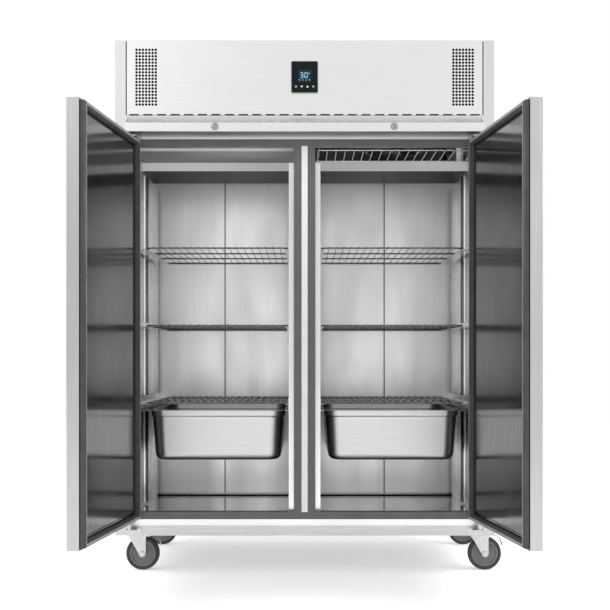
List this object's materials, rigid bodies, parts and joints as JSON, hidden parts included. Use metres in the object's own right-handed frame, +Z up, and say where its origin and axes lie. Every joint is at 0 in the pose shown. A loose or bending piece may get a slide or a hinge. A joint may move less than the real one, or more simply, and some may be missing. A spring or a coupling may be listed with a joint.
{
  "type": "reach-in refrigerator",
  "caption": "Upright stainless reach-in refrigerator with two doors standing open, wire shelves, deep food pans, a machine compartment on top and swivel castors below.",
  "frame": {"origin": "on the floor, under the middle of the box round the refrigerator with its doors at rest, standing open", "axes": "+Z up, +Y from the doors to the back, +X to the right seen from the front"},
  "size_m": [1.4759, 1.4654, 1.96],
  "materials": {
    "stainless_outside": "satin",
    "stainless_bright": "satin",
    "stainless_inside": "satin",
    "door_inner_steel": "polished",
    "galvanised_steel": "satin",
    "zinc_plated_steel": "satin",
    "chromed_wire": "polished",
    "foam": "matte",
    "grey_plastic": "satin",
    "white_plastic": "satin",
    "black_gloss": "gloss",
    "display_glass": "gloss",
    "gasket_rubber": "matte",
    "handle_plastic": "satin",
    "finned_aluminium": "satin",
    "black_painted_steel": "satin",
    "fan_plastic": "satin",
    "copper_tube": "satin",
    "light_grey_plastic": "satin",
    "castor_plastic": "satin"
  },
  "bodies": {
    "cabinet": {"back_panel": "stainless_outside", "base_panel": "galvanised_steel", "breaker_strips": "grey_plastic", "castor_heads": "zinc_plated_steel", "ceiling_covers": "stainless_inside", "ceiling_wire_guard": "chromed_wire", "compressor": "black_painted_steel", "condenser_unit": "finned_aluminium", "controller_bezel": "black_gloss", "controller_display": "display_glass", "door_hardware": "zinc_plated_steel", "electrical_box": "light_grey_plastic", "evaporator_unit": "finned_aluminium", "fascia_panel": "stainless_outside", "fasteners": "zinc_plated_steel", "front_apron": "stainless_outside", "front_frame": "stainless_outside", "inner_liner": "stainless_inside", "insulation_foam": "foam", "lock_canopy": "stainless_outside", "machine_deck": "galvanised_steel", "mains_gland": "handle_plastic", "mullion_trim": "white_plastic", "refrigerant_pipes": "copper_tube", "shelf_runners": "stainless_bright", "shelf_uprights": "stainless_bright", "side_panels": "stainless_outside", "top_cover": "stainless_outside"},
    "door_left": {"door_left_skin": "stainless_outside", "door_left_inner_panel": "door_inner_steel", "door_left_foam": "foam", "door_left_gasket": "gasket_rubber", "door_left_handle": "handle_plastic"},
    "door_right": {"door_right_skin": "stainless_outside", "door_right_inner_panel": "door_inner_steel", "door_right_foam": "foam", "door_right_gasket": "gasket_rubber", "door_right_handle": "handle_plastic"},
    "key_lock_left": {"key_lock_left": "zinc_plated_steel"},
    "key_lock_right": {"key_lock_right": "zinc_plated_steel"},
    "shelf_left_low": {"shelf_left_low": "chromed_wire"},
    "shelf_left_middle": {"shelf_left_middle": "chromed_wire"},
    "shelf_left_high": {"shelf_left_high": "chromed_wire"},
    "shelf_right_low": {"shelf_right_low": "chromed_wire"},
    "shelf_right_middle": {"shelf_right_middle": "chromed_wire"},
    "shelf_right_high": {"shelf_right_high": "chromed_wire"},
    "pan_left": {"pan_left": "stainless_bright"},
    "pan_right": {"pan_right": "stainless_bright"},
    "evaporator_fan": {"evaporator_fan": "fan_plastic"},
    "condenser_fan": {"condenser_fan": "fan_plastic"},
    "castor_fork_front_left": {"castor_fork_front_left": "zinc_plated_steel"},
    "castor_wheel_front_left": {"castor_wheel_front_left": "castor_plastic"},
    "brake_pedal_front_left": {"brake_pedal_front_left": "zinc_plated_steel"},
    "castor_fork_front_right": {"castor_fork_front_right": "zinc_plated_steel"},
    "castor_wheel_front_right": {"castor_wheel_front_right": "castor_plastic"},
    "brake_pedal_front_right": {"brake_pedal_front_right": "zinc_plated_steel"},
    "castor_fork_rear_left": {"castor_fork_rear_left": "zinc_plated_steel"},
    "castor_wheel_rear_left": {"castor_wheel_rear_left": "castor_plastic"},
    "castor_fork_rear_right": {"castor_fork_rear_right": "zinc_plated_steel"},
    "castor_wheel_rear_right": {"castor_wheel_rear_right": "castor_plastic"}
  },
  "joints": [
    {"name": "door_left_hinge", "type": "hinge", "parent": "cabinet", "child": "door_left", "pos_m": [-0.636, -0.10129, 0.9], "axis": [0, 0, -1], "range_deg": [-96.8, 15]},
    {"name": "door_right_hinge", "type": "hinge", "parent": "cabinet", "child": "door_right", "pos_m": [0.636, -0.10129, 0.9], "axis": [0, 0, 1], "range_deg": [-96.8, 15]},
    {"name": "key_lock_left_turn", "type": "hinge", "parent": "cabinet", "child": "key_lock_left", "pos_m": [-0.324, -0.11129, 1.632], "axis": [0, 1, 0], "range_deg": [0, 90]},
    {"name": "key_lock_right_turn", "type": "hinge", "parent": "cabinet", "child": "key_lock_right", "pos_m": [0.324, -0.11129, 1.632], "axis": [0, -1, 0], "range_deg": [0, 90]},
    {"name": "shelf_left_low_slide", "type": "slide", "parent": "cabinet", "child": "shelf_left_low", "axis": [0, -1, 0], "range_m": [0, 0.25]},
    {"name": "shelf_left_middle_slide", "type": "slide", "parent": "cabinet", "child": "shelf_left_middle", "axis": [0, -1, 0], "range_m": [0, 0.25]},
    {"name": "shelf_left_high_slide", "type": "slide", "parent": "cabinet", "child": "shelf_left_high", "axis": [0, -1, 0], "range_m": [0, 0.25]},
    {"name": "shelf_right_low_slide", "type": "slide", "parent": "cabinet", "child": "shelf_right_low", "axis": [0, -1, 0], "range_m": [0, 0.25]},
    {"name": "shelf_right_middle_slide", "type": "slide", "parent": "cabinet", "child": "shelf_right_middle", "axis": [0, -1, 0], "range_m": [0, 0.25]},
    {"name": "shelf_right_high_slide", "type": "slide", "parent": "cabinet", "child": "shelf_right_high", "axis": [0, -1, 0], "range_m": [0, 0.25]},
    {"name": "pan_left_slide", "type": "slide", "parent": "cabinet", "child": "pan_left", "axis": [0, -1, 0], "range_m": [0, 0.45]},
    {"name": "pan_right_slide", "type": "slide", "parent": "cabinet", "child": "pan_right", "axis": [0, -1, 0], "range_m": [0, 0.45]},
    {"name": "evaporator_fan_spin", "type": "hinge", "parent": "cabinet", "child": "evaporator_fan", "pos_m": [0.343, 0.18371, 1.605], "axis": [0, 0, 1], "continuous": true},
    {"name": "condenser_fan_spin", "type": "hinge", "parent": "cabinet", "child": "condenser_fan", "pos_m": [0.42, 0.28271, 1.818], "axis": [0, 1, 0], "continuous": true},
    {"name": "castor_front_left_swivel", "type": "hinge", "parent": "cabinet", "child": "castor_fork_front_left", "pos_m": [-0.642, 0.04771, 0.14], "axis": [0, 0, 1], "continuous": true},
    {"name": "castor_front_left_roll", "type": "hinge", "parent": "castor_fork_front_left", "child": "castor_wheel_front_left", "pos_m": [-0.608, 0.04771, 0.0625], "axis": [0, 1, 0], "continuous": true},
    {"name": "brake_front_left_press", "type": "hinge", "parent": "castor_fork_front_left", "child": "brake_pedal_front_left", "pos_m": [-0.578, 0.04771, 0.1345], "axis": [0, 1, 0], "range_deg": [0, 10]},
    {"name": "castor_front_right_swivel", "type": "hinge", "parent": "cabinet", "child": "castor_fork_front_right", "pos_m": [0.642, 0.04771, 0.14], "axis": [0, 0, 1], "continuous": true},
    {"name": "castor_front_right_roll", "type": "hinge", "parent": "castor_fork_front_right", "child": "castor_wheel_front_right", "pos_m": [0.676, 0.04771, 0.0625], "axis": [0, 1, 0], "continuous": true},
    {"name": "brake_front_right_press", "type": "hinge", "parent": "castor_fork_front_right", "child": "brake_pedal_front_right", "pos_m": [0.706, 0.04771, 0.1345], "axis": [0, 1, 0], "range_deg": [0, 10]},
    {"name": "castor_rear_left_swivel", "type": "hinge", "parent": "cabinet", "child": "castor_fork_rear_left", "pos_m": [-0.642, 0.61971, 0.14], "axis": [0, 0, 1], "continuous": true},
    {"name": "castor_rear_left_roll", "type": "hinge", "parent": "castor_fork_rear_left", "child": "castor_wheel_rear_left", "pos_m": [-0.608, 0.61971, 0.0625], "axis": [0, 1, 0], "continuous": true},
    {"name": "castor_rear_right_swivel", "type": "hinge", "parent": "cabinet", "child": "castor_fork_rear_right", "pos_m": [0.642, 0.61971, 0.14], "axis": [0, 0, 1], "continuous": true},
    {"name": "castor_rear_right_roll", "type": "hinge", "parent": "castor_fork_rear_right", "child": "castor_wheel_rear_right", "pos_m": [0.676, 0.61971, 0.0625], "axis": [0, 1, 0], "continuous": true}
  ]
}
